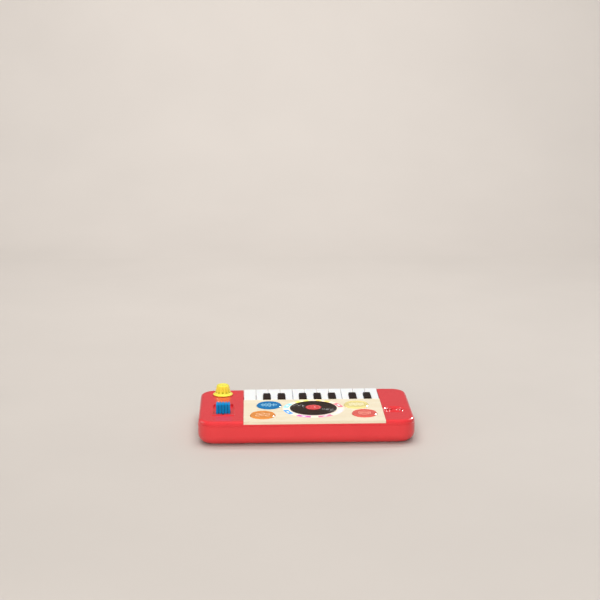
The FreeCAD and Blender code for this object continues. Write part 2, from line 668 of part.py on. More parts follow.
# ---- slider ----
cap_blank = new_body("slider_blank")
side_view = new_sketch(cap_blank, "slider_side", "xz")
cap_low = "case_top - 2.2"
cap_high = "case_top + 13.5"
outline(side_view, [("-11.4", cap_low), ("11.4", cap_low), ("11.8", "case_top - 1.4"), ("11.6", cap_high),
                    ("-11.6", cap_high), ("-11.8", "case_top - 1.4")])
side_pad = pad(cap_blank, side_view, 11.8)
side_pad.Midplane = True
round_edges(cap_blank, side_pad, "1.6", at_height(cap_high))
for index, offset in enumerate((-9.6, -4.8, 0, 4.8, 9.6)):
    rib = new_sketch(cap_blank, "slider_rib_%d" % index, "yz", offset - 1.3)
    outline(rib, [("-7.6", cap_low), ("7.6", cap_low), ("7.6", "case_top + 12.6"), ("6.2", "case_top + 14.3"),
                  ("-6.2", "case_top + 14.3"), ("-7.6", "case_top + 12.6")])
    pad(cap_blank, rib, 2.6)
socket = new_sketch(cap_blank, "slider_socket", "xy", "case_top + 6")
rectangle(socket, -1.4, 1.4, -1.6, 1.6)
pocket(cap_blank, socket, 12)
place(cap_blank, "slide_x", "slide_y", "0")
keep(cap_blank, "slider_cap")
carrier_parts = [
    box("carrier_stem", "slide_x - 1.4", "slide_x + 1.4", "slide_y - 1.6", "slide_y + 1.6", "33",
        "case_top + 5.9"),
    box("carrier_shoe", "slide_x - 7", "slide_x + 7", "slide_y - 6", "slide_y + 6", "32.4", "36.6"),
    box("carrier_tongue", "slide_x - 0.8", "slide_x + 0.8", "slide_y - 1.6", "slide_y + 1.6", "28.4", "33"),
]
keep(fuse("carrier_body", carrier_parts), "slider_carrier")
track = box("track_case", "slide_x - 5", "slide_x + 5", "-6", "64", "24", "31")
track_slot = box("track_slot", "slide_x - 1", "slide_x + 1", "slide_y - slide_fore - 3.6",
                 "slide_y + slide_aft + 3.6", "27", "32")
keep(cut("track_body", track, [track_slot]), "slide_potentiometer")

# ---- loudspeaker ----
keep(turned("speaker_basket", [("9", "27"), ("11", "27"), ("14", "35"), ("16.2", "35"), ("16.2", "37.2"),
                               ("13.4", "37.2"), ("13.4", "36"), ("12.6", "36"), ("9.6", "29.5")],
            "speaker_x", "speaker_y"), "speaker_frame")
keep(turned("speaker_paper", [
    ("0", "32.6"), ("3.6", "31.6"), ("6", "30.6"), ("11.6", "35.4"), ("12.2", "36.05"), ("13.3", "36.05"),
    ("13.3", "36.6"), ("11.9", "36.3"), ("6", "31.4"), ("3.6", "32.6"), ("0", "33.6")],
    "speaker_x", "speaker_y"), "speaker_cone")
keep(turned("speaker_slug", [
    ("0", "22"), ("9.8", "22"), ("9.8", "27"), ("9", "27"), ("9", "29"), ("0", "29")],
    "speaker_x", "speaker_y"), "speaker_magnet")

# ---- main board ----
board_holes = []
for index, (x, y) in enumerate(board_spots):
    board_holes.append(cylinder("main_hole_%d" % index, x, y, "11", "15", "1.3"))
main_plate = box("main_plate", -75, 50, 30, 77.7, "12", "13.6")
keep(cut("main_board_body", main_plate, board_holes), "main_board")
chips = doc.addObject("Part::Compound", "chip_set")
chips.Links = [
    box("chip_sound", -50, -38, 52, 64, "13.6", "15.2"),
    box("chip_amplifier", 12, 17, 60, 70, "13.6", "15.4"),
    box("chip_crystal", -30, -19, 66, 70.5, "13.6", "16.8"),
    box("chip_socket", 22, 40, 32, 38, "13.6", "19"),
    cylinder("chip_capacitor_0", 30, 66, "13.6", "24", "4"),
    cylinder("chip_capacitor_1", 40, 62, "13.6", "21", "3.1"),
]
keep(chips, "board_components")
small_screws = doc.addObject("Part::Compound", "small_screw_set")
small_list = []
for index, (x, y) in enumerate(board_spots):
    small_list.append(turned("board_screw_%d" % index, [
        ("0", "7"), ("1", "7.4"), ("1", "13.6"), ("2.4", "13.6"), ("2.2", "15"), ("0", "15.4")], x, y))
small_screws.Links = small_list
keep(small_screws, "board_screws")

# ---- power ----
cells = doc.addObject("Part::Compound", "cell_set")
cell_list = []
for index, y in enumerate((-53, -38, -23)):
    way = 1 if index % 2 == 0 else -1
    cell = new_body("cell_%d" % index)
    profile = new_sketch(cell, "cell_profile_%d" % index, "xz")
    outline(profile, [("0", "-cell_length / 2"), ("cell_radius", "-cell_length / 2"),
                      ("cell_radius", "cell_length / 2 - 1.2"), ("2.7", "cell_length / 2 - 1.2"),
                      ("2.7", "cell_length / 2"), ("0", "cell_length / 2")])
    revolve(cell, profile)
    cell.Placement = FreeCAD.Placement(
        FreeCAD.Vector(), FreeCAD.Rotation(FreeCAD.Vector(0, 1, 0), 90 * way))
    place(cell, 0, y, "11.6")
    cell_list.append(cell)
cells.Links = cell_list
keep(cells, "batteries")
contacts = doc.addObject("Part::Compound", "contact_set")
contact_list = []
for index, y in enumerate((-53, -38, -23)):
    contact_list.append(box("contact_left_%d" % index, -27.9, -27.2, y - 5, y + 5, "6", "17"))
    contact_list.append(box("contact_right_%d" % index, 27.2, 27.9, y - 5, y + 5, "6", "17"))
contacts.Links = contact_list
keep(contacts, "battery_contacts")
door_plate = box("door_plate", -30.7, 30.7, -65.2, -6.3, "foot_height", "foot_height + 1.5")
door_hole = cone("door_hole", 0, -10, "foot_height - 0.01", "foot_height + 1.51", "2.4", "1")
keep(cut("battery_door_body", door_plate, [door_hole]), "battery_door")
keep(turned("door_screw_body", [("0", "foot_height + 0.1"), ("2.2", "foot_height + 0.1"),
                                ("0.86", "foot_height + 1.6"), ("0.86", "9"), ("0", "9.8")], 0, -10),
     "battery_door_screw")

# ---- feet and case screws ----
feet = doc.addObject("Part::Compound", "foot_set")
feet.Links = [cylinder("foot_%d" % index, x, y, "0", "foot_height + 0.8", "6")
              for index, (x, y) in enumerate(foot_spots)]
keep(feet, "rubber_feet")
case_screws = doc.addObject("Part::Compound", "case_screw_set")
case_screws.Links = [
    turned("case_screw_%d" % index, [("0", "4.6"), ("2.7", "4.9"), ("2.7", "7"), ("1.25", "7"),
                                     ("1.25", "33.6"), ("0", "34.4")], x, y)
    for index, (x, y) in enumerate(screw_spots)]
keep(case_screws, "case_screws")

doc.recompute()

# ---- check every object, then write one file per piece ----
for item in doc.Objects:
    if "Invalid" in item.State or "Error" in item.State:
        raise RuntimeError("%s didn't rebuild: %s" % (item.Label, item.State))
for item in kept:
    if item.Shape.isNull() or not item.Shape.isValid():
        raise RuntimeError("%s has no sound shape" % item.Label)
os.makedirs("parts", exist_ok=True)
for item in kept:
    item.Shape.exportStep("parts/%s.step" % item.Label)
    print("%-26s solids %d  volume %.1f" % (item.Label, len(item.Shape.Solids), item.Shape.Volume))
print("pieces", len(kept))
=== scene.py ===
import json
import math
import bpy
import bmesh
from mathutils import Matrix, Vector


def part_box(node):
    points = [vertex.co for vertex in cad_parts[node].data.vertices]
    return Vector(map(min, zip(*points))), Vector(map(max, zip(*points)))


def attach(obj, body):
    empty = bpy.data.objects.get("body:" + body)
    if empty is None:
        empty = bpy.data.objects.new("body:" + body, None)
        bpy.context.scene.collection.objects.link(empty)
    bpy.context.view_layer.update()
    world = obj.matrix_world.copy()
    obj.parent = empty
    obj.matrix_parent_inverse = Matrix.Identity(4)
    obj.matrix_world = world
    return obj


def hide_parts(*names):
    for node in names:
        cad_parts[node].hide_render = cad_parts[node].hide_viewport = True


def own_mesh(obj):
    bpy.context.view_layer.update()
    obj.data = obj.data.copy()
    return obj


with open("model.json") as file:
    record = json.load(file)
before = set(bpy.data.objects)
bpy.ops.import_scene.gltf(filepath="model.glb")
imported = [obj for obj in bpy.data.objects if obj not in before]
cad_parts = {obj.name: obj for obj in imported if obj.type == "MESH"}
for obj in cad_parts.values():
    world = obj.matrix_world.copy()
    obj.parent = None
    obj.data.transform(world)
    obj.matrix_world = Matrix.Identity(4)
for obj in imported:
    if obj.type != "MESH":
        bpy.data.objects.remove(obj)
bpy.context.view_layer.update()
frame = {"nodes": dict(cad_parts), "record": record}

nodes = frame["nodes"]
scene = bpy.context.scene
scene.view_settings.view_transform = "Standard"
mm = 0.001
print("frame loaded:", len(nodes), "CAD pieces")


# small helpers for building node trees
def newMaterial(name):
    material = bpy.data.materials.new(name)
    material.use_nodes = True
    tree = material.node_tree
    tree.nodes.clear()
    output = tree.nodes.new("ShaderNodeOutputMaterial")
    shader = tree.nodes.new("ShaderNodeBsdfPrincipled")
    tree.links.new(shader.outputs[0], output.inputs[0])
    return material, tree, shader


def wire(tree, source, target):
    tree.links.new(source, target)


def calc(tree, operation, first, second=None):
    # one Math node; numbers and sockets may be mixed
    node = tree.nodes.new("ShaderNodeMath")
    node.operation = operation
    for index, value in enumerate((first, second)):
        if value is None:
            continue
        if isinstance(value, (int, float)):
            node.inputs[index].default_value = value
        else:
            tree.links.new(value, node.inputs[index])
    return node.outputs[0]


def smooth(tree, value, low, high, outLow=0.0, outHigh=1.0):
    node = tree.nodes.new("ShaderNodeMapRange")
    node.interpolation_type = "SMOOTHSTEP"
    tree.links.new(value, node.inputs["Value"])
    node.inputs["From Min"].default_value = low
    node.inputs["From Max"].default_value = high
    node.inputs["To Min"].default_value = outLow
    node.inputs["To Max"].default_value = outHigh
    return node.outputs["Result"]


def ramp(tree, value, stops):
    node = tree.nodes.new("ShaderNodeValToRGB")
    while len(node.color_ramp.elements) < len(stops):
        node.color_ramp.elements.new(0.5)
    for element, (place, colour) in zip(node.color_ramp.elements, stops):
        element.position = place
        element.color = (*colour, 1)
    tree.links.new(value, node.inputs[0])
    return node.outputs[0]


def mixColour(tree, factor, first, second):
    node = tree.nodes.new("ShaderNodeMix")
    node.data_type = "RGBA"
    for socket, value in ((node.inputs[0], factor), (node.inputs[6], first), (node.inputs[7], second)):
        if isinstance(value, (int, float)):
            socket.default_value = value
        elif isinstance(value, tuple):
            socket.default_value = (*value, 1)
        else:
            tree.links.new(value, socket)
    return node.outputs[2]


def noise(tree, scale, detail=3.0, stretch=(1, 1, 1), roughness=0.5):
    where = tree.nodes.new("ShaderNodeTexCoord")
    mapping = tree.nodes.new("ShaderNodeMapping")
    mapping.inputs["Scale"].default_value = stretch
    tree.links.new(where.outputs["Object"], mapping.inputs["Vector"])
    node = tree.nodes.new("ShaderNodeTexNoise")
    node.inputs["Scale"].default_value = scale
    node.inputs["Detail"].default_value = detail
    node.inputs["Roughness"].default_value = roughness
    tree.links.new(mapping.outputs[0], node.inputs["Vector"])
    return node.outputs["Fac"]


def bump(tree, shader, height, strength, distance):
    node = tree.nodes.new("ShaderNodeBump")
    node.inputs["Strength"].default_value = strength
    node.inputs["Distance"].default_value = distance
    tree.links.new(height, node.inputs["Height"])
    tree.links.new(node.outputs[0], shader.inputs["Normal"])


def shade(colour, factor):
    return tuple(min(1.0, c * factor) for c in colour)


moulding = {  # what every plastic starts from; its own entry below may say otherwise
    "drift": 0.05, "driftScale": 22, "wear": 0.1, "scuffScale": 160, "scuffStretch": (1, 6, 1),
    "coat": 0.3, "coatRoughness": 0.12, "specular": 0.5, "grain": 0.06,
    "grainScale": 900, "grainDepth": 0.2 * mm,
    "subsurface": 0.0, "bleed": (4 * mm, 3 * mm, 2 * mm), "bleedScale": 0.6,
    # the crevice entries set painted shade in flutes and between ribs, found by ambient occlusion
    "creviceShade": 0.0, "creviceShadeReach": 3 * mm, "creviceShadeOpen": (0.35, 0.85), "creviceShadeSamples": 8}


def mouldedPlastic(name, own):
    # a faint colour drift, orange-peel gloss, a few fine scuffs and, where an entry asks for it, painted
    # shade darkening crevices
    look = {**moulding, **own}
    material, tree, shader = newMaterial(name)
    colour = look["colour"]
    drift = noise(tree, look["driftScale"], 4)
    base = ramp(tree, drift, [(0.3, shade(colour, 1 - look["drift"])),
                              (0.7, shade(colour, 1 + look["drift"]))])
    if look["creviceShade"]:
        # painted shade: flutes and ribs darken towards their roots, wherever ambient occlusion finds them
        # closed in
        occlusion = tree.nodes.new("ShaderNodeAmbientOcclusion")
        occlusion.samples = look["creviceShadeSamples"]
        occlusion.inputs["Distance"].default_value = look["creviceShadeReach"]
        unshadedShare = smooth(tree, occlusion.outputs["AO"], *look["creviceShadeOpen"])
        base = mixColour(tree, unshadedShare, shade(colour, 1 - look["creviceShade"]), base)
    wire(tree, base, shader.inputs["Base Color"])
    scuff = noise(tree, look["scuffScale"], 5, look["scuffStretch"], 0.7)
    rough = look["roughness"]
    worn = smooth(tree, scuff, 0.35, 0.75, rough - 0.03, rough + look["wear"])
    wire(tree, worn, shader.inputs["Roughness"])
    shader.inputs["Coat Weight"].default_value = look["coat"]
    shader.inputs["Coat Roughness"].default_value = look["coatRoughness"]
    shader.inputs["Specular IOR Level"].default_value = look["specular"]
    if look["subsurface"]:
        shader.inputs["Subsurface Weight"].default_value = look["subsurface"]
        shader.inputs["Subsurface Radius"].default_value = look["bleed"]
        shader.inputs["Subsurface Scale"].default_value = look["bleedScale"]
    bump(tree, shader, noise(tree, look["grainScale"], 2), look["grain"], look["grainDepth"])
    return material


brushing = {
    "scale": 220, "stretch": (1, 30, 30), "dark": 0.85, "bright": 1.08, "depth": 0.1 * mm, "strength": 0.08}


def metal(name, look):
    material, tree, shader = newMaterial(name)
    brushed = noise(tree, brushing["scale"], 5, brushing["stretch"], 0.6)
    base = ramp(tree, brushed, [(0.25, shade(look["colour"], brushing["dark"])),
                                (0.75, shade(look["colour"], brushing["bright"]))])
    wire(tree, base, shader.inputs["Base Color"])
    shader.inputs["Metallic"].default_value = 1.0
    rough = look["roughness"]
    wire(tree, smooth(tree, brushed, 0.2, 0.8, rough - 0.06, rough + 0.1), shader.inputs["Roughness"])
    bump(tree, shader, brushed, brushing["strength"], brushing["depth"])
    return material


discLow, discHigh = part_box("turntable_disc")
discCentre = (Vector(discLow) + Vector(discHigh)) / 2
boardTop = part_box("wood_panel")[1][2]

lights = {
    "colours": [  # rim colour of each window, from the player's left round towards the player
        (0.95, 0.20, 0.26), (1.0, 0.68, 0.20), (0.92, 0.86, 0.16), (0.30, 0.72, 0.92),
        (0.08, 0.34, 0.90), (0.70, 0.12, 0.48), (0.92, 0.20, 0.36), (0.97, 0.68, 0.72)],
    "glow": 0.22,  # light that a window gives out near its rim
    "middle": 0.55,  # and over its lamp
    "spill": 0.30,  # painted light: glow drawn onto the board round the windows, standing in for the ring's light on the wood
    "ringRadius": 46 * mm, "halfWidth": 4.2 * mm, "halfLength": 0.30,  # the length is a share of one sector
    "core": (0.05, 0.62), "lampWhite": (1.0, 0.98, 0.97), "roughness": 0.45, "specular": 0.2,
    "haloStart": 48.0 * mm, "haloEnd": 52.5 * mm, "haloWhite": (1.0, 0.98, 1.0), "haloTint": 0.25,
    "frostScale": 700, "frost": 0.05, "frostDepth": 0.2 * mm}


def squareSum(tree, first, second):
    return calc(tree, "ADD", calc(tree, "MULTIPLY", first, first), calc(tree, "MULTIPLY", second, second))


def ringCoordinates(tree):
    # radius from the turntable's axis, angle as 0 to 1 from the player's left (-X), and height
    where = tree.nodes.new("ShaderNodeTexCoord")
    split = tree.nodes.new("ShaderNodeSeparateXYZ")
    tree.links.new(where.outputs["Object"], split.inputs[0])
    x = calc(tree, "SUBTRACT", split.outputs[0], discCentre.x)
    y = calc(tree, "SUBTRACT", split.outputs[1], discCentre.y)
    radius = calc(tree, "SQRT", squareSum(tree, x, y))
    turn = calc(tree, "ARCTAN2", calc(tree, "MULTIPLY", y, -1.0), calc(tree, "MULTIPLY", x, -1.0))
    angle = calc(tree, "FRACT", calc(tree, "ADD", calc(tree, "DIVIDE", turn, 2 * math.pi), 1.0))
    return radius, angle, split.outputs[2]


def ringColour(tree, angle):
    stops = []
    count = len(lights["colours"])
    for index, colour in enumerate(lights["colours"]):
        stops.append(((index + 0.1) / count, colour))
        stops.append(((index + 0.9) / count, colour))
    return ramp(tree, angle, stops)


def lightGuideMaterial():
    # frosted window: coloured towards the rim, white over its lamp
    material, tree, shader = newMaterial("frostedLightGuide")
    radius, angle = ringCoordinates(tree)[:2]
    across = calc(tree, "ABSOLUTE", calc(tree, "SUBTRACT", radius, lights["ringRadius"]))
    across = calc(tree, "DIVIDE", across, lights["halfWidth"])
    sector = calc(tree, "FRACT", calc(tree, "MULTIPLY", angle, float(len(lights["colours"]))))
    along = calc(tree, "ABSOLUTE", calc(tree, "SUBTRACT", sector, 0.5))
    along = calc(tree, "DIVIDE", along, lights["halfLength"])
    core = smooth(tree, calc(tree, "SQRT", squareSum(tree, across, along)), *lights["core"], 1.0, 0.0)
    glow = mixColour(tree, core, ringColour(tree, angle), lights["lampWhite"])
    wire(tree, glow, shader.inputs["Base Color"])
    wire(tree, glow, shader.inputs["Emission Color"])
    strength = smooth(tree, core, 0.0, 1.0, lights["glow"], lights["middle"])
    wire(tree, strength, shader.inputs["Emission Strength"])
    shader.inputs["Roughness"].default_value = lights["roughness"]
    shader.inputs["Specular IOR Level"].default_value = lights["specular"]
    bump(tree, shader, noise(tree, lights["frostScale"], 2), lights["frost"], lights["frostDepth"])
    return material


woodLook = {
    "light": (0.87, 0.79, 0.61), "mid": (0.83, 0.725, 0.52), "line": (0.70, 0.53, 0.34),
    "streaks": 0.35, "flecks": 0.30, "roughness": 0.42, "coat": 0.15, "coatRoughness": 0.3,
    "ply": (0.66, 0.50, 0.33), "plyThickness": 1.8 * mm, "plyDepth": 0.25, "edge": (0.5 * mm, 0.7 * mm),
    "fibre": 0.12, "fibreDepth": 0.2 * mm}


def woodMaterial():
    # lacquered birch: soft figure, fine fibres, ray flecks, ply lines on the edges, and the ring's light
    # painted onto the board as a glow
    material, tree, shader = newMaterial("birchPly")
    figure = noise(tree, 9, 6, (1.2, 9, 9), 0.55)
    fibres = noise(tree, 90, 5, (1, 22, 22), 0.65)
    flecks = noise(tree, 260, 3, (1, 9, 9), 0.5)
    light, mid = woodLook["light"], woodLook["mid"]
    base = ramp(tree, figure, [(0.30, light), (0.55, mid), (0.62, light), (0.80, mid)])
    streak = smooth(tree, fibres, 0.56, 0.80, 0.0, woodLook["streaks"])
    base = mixColour(tree, streak, base, woodLook["line"])
    fleck = smooth(tree, flecks, 0.62, 0.72, 0.0, woodLook["flecks"])
    base = mixColour(tree, fleck, base, woodLook["line"])
    radius, angle, height = ringCoordinates(tree)
    below = calc(tree, "SUBTRACT", boardTop, height)
    layer = calc(tree, "FRACT", calc(tree, "DIVIDE", below, woodLook["plyThickness"]))
    inEdge = smooth(tree, below, *woodLook["edge"], 0.0, woodLook["plyDepth"])
    band = calc(tree, "MULTIPLY", smooth(tree, layer, 0.45, 0.55), inEdge)
    base = mixColour(tree, band, base, woodLook["ply"])
    wire(tree, base, shader.inputs["Base Color"])
    rough = woodLook["roughness"]
    wire(tree, smooth(tree, fibres, 0.3, 0.8, rough - 0.06, rough + 0.1), shader.inputs["Roughness"])
    shader.inputs["Coat Weight"].default_value = woodLook["coat"]
    shader.inputs["Coat Roughness"].default_value = woodLook["coatRoughness"]
    # painted light: the board glows near the windows as if lit by the ring, fading out by the halo's end,
    # white tinted with each window's colour
    near = smooth(tree, radius, lights["haloStart"], lights["haloEnd"], 1.0, 0.0)
    tint = mixColour(tree, lights["haloTint"], lights["haloWhite"], ringColour(tree, angle))
    wire(tree, tint, shader.inputs["Emission Color"])
    wire(tree, calc(tree, "MULTIPLY", near, lights["spill"]), shader.inputs["Emission Strength"])
    bump(tree, shader, fibres, woodLook["fibre"], woodLook["fibreDepth"])
    return material


recordLook = {
    "dark": (0.022, 0.011, 0.006), "light": (0.034, 0.018, 0.010), "pitch": 0.9 * mm, "shine": (0.26, 0.46),
    "specular": 0.22, "groove": 0.25, "grooveDepth": 0.12 * mm}


def recordMaterial():
    # pressed grooves: rings in the roughness and the bump, so highlights draw out into arcs
    material, tree, shader = newMaterial("grooveBlack")
    radius = ringCoordinates(tree)[0]
    groove = calc(tree, "SINE", calc(tree, "MULTIPLY", radius, 2 * math.pi / recordLook["pitch"]))
    wide = noise(tree, 120, 3)
    wire(tree, ramp(tree, wide, [(0.3, recordLook["dark"]), (0.7, recordLook["light"])]),
         shader.inputs["Base Color"])
    wire(tree, smooth(tree, groove, -1.0, 1.0, *recordLook["shine"]), shader.inputs["Roughness"])
    shader.inputs["Specular IOR Level"].default_value = recordLook["specular"]
    bump(tree, shader, groove, recordLook["groove"], recordLook["grooveDepth"])
    return material


boardLook = {
    "mask": (0.012, 0.16, 0.06), "shadow": (0.010, 0.13, 0.05), "trace": (0.05, 0.30, 0.10),
    "scale": 260, "traceWidth": 0.03, "shine": (0.3, 0.45)}


def boardMaterial():
    # green solder mask with faint copper traces under it
    material, tree, shader = newMaterial("circuitBoard")
    where = tree.nodes.new("ShaderNodeTexCoord")
    bricks = tree.nodes.new("ShaderNodeTexBrick")
    wire(tree, where.outputs["Object"], bricks.inputs["Vector"])
    bricks.inputs["Scale"].default_value = boardLook["scale"]
    bricks.inputs["Mortar Size"].default_value = boardLook["traceWidth"]
    for socket, look in (("Color1", "mask"), ("Color2", "shadow"), ("Mortar", "trace")):
        bricks.inputs[socket].default_value = (*boardLook[look], 1)
    wire(tree, bricks.outputs["Color"], shader.inputs["Base Color"])
    wire(tree, smooth(tree, noise(tree, 90, 3), 0.3, 0.7, *boardLook["shine"]), shader.inputs["Roughness"])
    return material


feltLook = {"colour": (0.30, 0.03, 0.03), "scale": 1400, "roughness": 0.95, "sheen": 0.5, "fluff": 0.6,
            "fluffDepth": 0.4 * mm}


def feltMaterial():
    material, tree, shader = newMaterial("pressedFelt")
    fluff = noise(tree, feltLook["scale"], 6, (1, 1, 1), 0.8)
    colour = feltLook["colour"]
    base = ramp(tree, fluff, [(0.3, shade(colour, 0.7)), (0.7, shade(colour, 1.3))])
    wire(tree, base, shader.inputs["Base Color"])
    shader.inputs["Roughness"].default_value = feltLook["roughness"]
    shader.inputs["Sheen Weight"].default_value = feltLook["sheen"]
    bump(tree, shader, fluff, feltLook["fluff"], feltLook["fluffDepth"])
    return material


plastics = {
    "base_red": {"colour": (0.745, 0.036, 0.042), "drift": 0.02, "roughness": 0.36, "coat": 0.25,
                 "coatRoughness": 0.2},
    # cover_red is a touch darker than base_red: painted shade, offsetting the stronger light on the cover's
    # top
    "cover_red": {"colour": (0.73, 0.034, 0.040), "drift": 0.02, "roughness": 0.30, "coat": 0.5,
                  "coatRoughness": 0.06, "specular": 0.3, "grain": 0.03},
    "door_red": {"colour": (0.80, 0.050, 0.056), "roughness": 0.4, "coat": 0.2},
    "key_white": {"colour": (0.97, 0.985, 0.99), "roughness": 0.2, "coat": 0.3, "coatRoughness": 0.05,
                  "drift": 0.015, "grain": 0.02, "wear": 0.06, "subsurface": 0.1},
    "key_black": {"colour": (0.020, 0.009, 0.005), "roughness": 0.3, "coat": 0.0, "specular": 0.1,
                  "drift": 0.2, "grain": 0.02},
    "label_red": {"colour": (0.73, 0.045, 0.048), "roughness": 0.25, "coat": 0.3},
    "button_blue": {"colour": (0.001, 0.17, 0.44), "roughness": 0.16, "coat": 0.1, "specular": 0.2,
                    "coatRoughness": 0.05, "grain": 0.02, "wear": 0.06},
    "button_orange": {"colour": (0.80, 0.28, 0.045), "roughness": 0.18, "coat": 0.3, "specular": 0.35,
                      "coatRoughness": 0.06, "grain": 0.02, "wear": 0.06},
    "button_yellow": {"colour": (0.95, 0.80, 0.30), "roughness": 0.14, "coat": 0.9, "coatRoughness": 0.05,
                      "grain": 0.02, "wear": 0.06},
    "button_coral": {"colour": (0.76, 0.115, 0.09), "roughness": 0.18, "coat": 0.3, "specular": 0.35,
                     "coatRoughness": 0.06, "grain": 0.02, "wear": 0.06},
    # painted shade in the knob's flutes and between the slider's ribs
    "knob_yellow": {"colour": (0.92, 0.82, 0.07), "roughness": 0.25, "coat": 0.5, "creviceShade": 0.45},
    "slider_blue": {"colour": (0.0, 0.25, 0.58), "roughness": 0.26, "coat": 0.05, "specular": 0.2,
                    "creviceShade": 0.5},
    "bed_grey": {"colour": (0.20, 0.20, 0.21), "roughness": 0.5, "coat": 0.0},
    "silicone": {"colour": (0.66, 0.66, 0.65), "roughness": 0.55, "coat": 0.0, "subsurface": 0.2},
    "bush_white": {"colour": (0.82, 0.82, 0.80), "roughness": 0.4, "coat": 0.0},
    "wheel_black": {"colour": (0.025, 0.025, 0.026), "roughness": 0.45, "coat": 0.0},
    "part_black": {"colour": (0.022, 0.022, 0.024), "roughness": 0.42, "coat": 0.0},
    "led_white": {"colour": (0.92, 0.92, 0.86), "roughness": 0.12, "coat": 0.8},
    "cone_paper": {"colour": (0.018, 0.018, 0.019), "roughness": 0.8, "coat": 0.0, "grain": 0.4},
    "foot_rubber": {"colour": (0.03, 0.03, 0.031), "roughness": 0.7, "coat": 0.0, "grain": 0.3},
}
metals = {
    "steel": {"colour": (0.60, 0.60, 0.62), "roughness": 0.28},
    "part_metal": {"colour": (0.52, 0.52, 0.54), "roughness": 0.34},
    "magnet_dark": {"colour": (0.12, 0.12, 0.13), "roughness": 0.5},
    "battery_can": {"colour": (0.66, 0.67, 0.70), "roughness": 0.25},
    "contact_nickel": {"colour": (0.74, 0.72, 0.68), "roughness": 0.22},
}
finishes = {name: mouldedPlastic(name, look) for name, look in plastics.items()}
finishes.update({name: metal(name, look) for name, look in metals.items()})
finishes["birch_ply"] = woodMaterial()
finishes["light_guide"] = lightGuideMaterial()
finishes["record_black"] = recordMaterial()
finishes["circuit_board"] = boardMaterial()
finishes["felt"] = feltMaterial()

slotOf = {part["node"]: part["material_slot"] for part in frame["record"]["subparts"]}
for name, piece in nodes.items():
    for place in piece.material_slots:
        place.material = finishes[slotOf[name]]
print("finishes on", len(nodes), "pieces")


# small raised and printed details, each riding on the body that carries it
def newPiece(name, mesh, body, material):
    piece = bpy.data.objects.new(name, mesh)
    scene.collection.objects.link(piece)
    mesh.materials.append(material)
    for face in mesh.polygons:
        face.use_smooth = True
    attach(piece, body)
    return piece


def ribbon(build, path, width, low, high, closed=False):
    # a low rounded strip along a flat path of (x, y) points
    count = len(path)
    rows = []
    for index, (x, y) in enumerate(path):
        before = path[index - 1] if closed or index else path[index]
        after = path[(index + 1) % count] if closed or index < count - 1 else path[index]
        ahead = Vector((after[0] - before[0], after[1] - before[1])).normalized()
        side = Vector((-ahead.y, ahead.x)) * width / 2
        row = []
        for across, height in ((-1, low), (-0.75, high), (0.75, high), (1, low)):
            row.append(build.verts.new((x + side.x * across, y + side.y * across, height)))
        rows.append(row)
    for index in range(count if closed else count - 1):
        first, second = rows[index], rows[(index + 1) % count]
        for step in range(4):
            build.faces.new((first[step], first[(step + 1) % 4], second[(step + 1) % 4], second[step]))
    if not closed:
        build.faces.new(rows[0][::-1])
        build.faces.new(rows[-1])


def arc(centre, radius, start, end, steps=24, flatten=1.0):
    points = []
    for step in range(steps + 1):
        turn = math.radians(start + (end - start) * step / steps)
        points.append((centre[0] + radius * math.cos(turn), centre[1] + radius * flatten * math.sin(turn)))
    return points


def ringPath(centre, radius, steps=48, flatten=1.0):
    return arc(centre, radius, 0, 360, steps, flatten)[:-1]


def middleOf(node):
    low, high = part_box(node)
    return ((low[0] + high[0]) / 2, (low[1] + high[1]) / 2)


def closeMesh(build, name):
    bmesh.ops.recalc_face_normals(build, faces=build.faces)
    mesh = bpy.data.meshes.new(name)
    build.to_mesh(mesh)
    build.free()
    return mesh


def line(first, second, steps=6):
    return [(first[0] + (second[0] - first[0]) * k / steps, first[1] + (second[1] - first[1]) * k / steps)
            for k in range(steps + 1)]


# raised prints on the buttons
inks = {
    "blue": (0.30, 0.66, 0.88), "orange": (1.0, 0.62, 0.38), "yellow": (1.0, 0.95, 0.72),
    "coral": (0.98, 0.36, 0.28)}
inkLook = {"roughness": 0.3, "coat": 0.1, "specular": 0.3}
prints = {"inset": 0.4 * mm, "root": 0.05 * mm, "rise": 0.12 * mm, "line": 1.5 * mm}
levelBars = {"lengths": (5, 9, 14, 8, 18, 22, 12, 19, 10, 15, 6), "pitch": 2.5 * mm}  # lengths in mm
curls = {
    "places": ((-8, 1.5), (0, -1.5), (8, 1.5)), "hook": 3.4 * mm, "hookUp": 4 * mm, "hookSweep": (-90, 150),
    "loop": 3.6 * mm, "loopDown": 3 * mm, "loopSweep": (90, 330)}
waves = {"rows": (-5, 0, 5), "height": 1.6, "step": 0.25, "turn": 0.20, "points": 48}  # mm and radians
drum = {
    "rise": 2.5 * mm, "rim": 9.5 * mm, "rimFlat": 0.62, "skin": 6.6 * mm, "skinFlat": 0.58,
    "foot": -3.6 * mm}


def bluePattern():
    # level bars standing side by side
    count = len(levelBars["lengths"])
    for index, length in enumerate(levelBars["lengths"]):
        x = (index - count // 2) * levelBars["pitch"]
        yield line((x, -length / 2 * mm), (x, length / 2 * mm)), False


def orangePattern():
    # three curls, like sound leaving a horn
    for x, y in curls["places"]:
        yield arc((x * mm, y * mm + curls["hookUp"]), curls["hook"], *curls["hookSweep"]), False
        yield arc((x * mm, y * mm - curls["loopDown"]), curls["loop"], *curls["loopSweep"]), False


def yellowPattern():
    # a wave in three rows
    reach = waves["points"]
    for row in waves["rows"]:
        yield [(k * waves["step"] * mm, (row + waves["height"] * math.sin(k * waves["turn"])) * mm)
               for k in range(-reach, reach + 1)], False


def coralPattern():
    # a hand drum: rim, skin, lower rim and two lacing lines
    yield ringPath((0, drum["rise"]), drum["rim"], flatten=drum["rimFlat"]), True
    yield ringPath((0, drum["rise"]), drum["skin"], flatten=drum["skinFlat"]), True
    yield arc((0, drum["foot"]), drum["rim"], 180, 360, flatten=drum["rimFlat"]), False
    for side in (-1, 1):
        yield line((side * drum["rim"], drum["rise"]), (side * drum["rim"], drum["foot"])), False


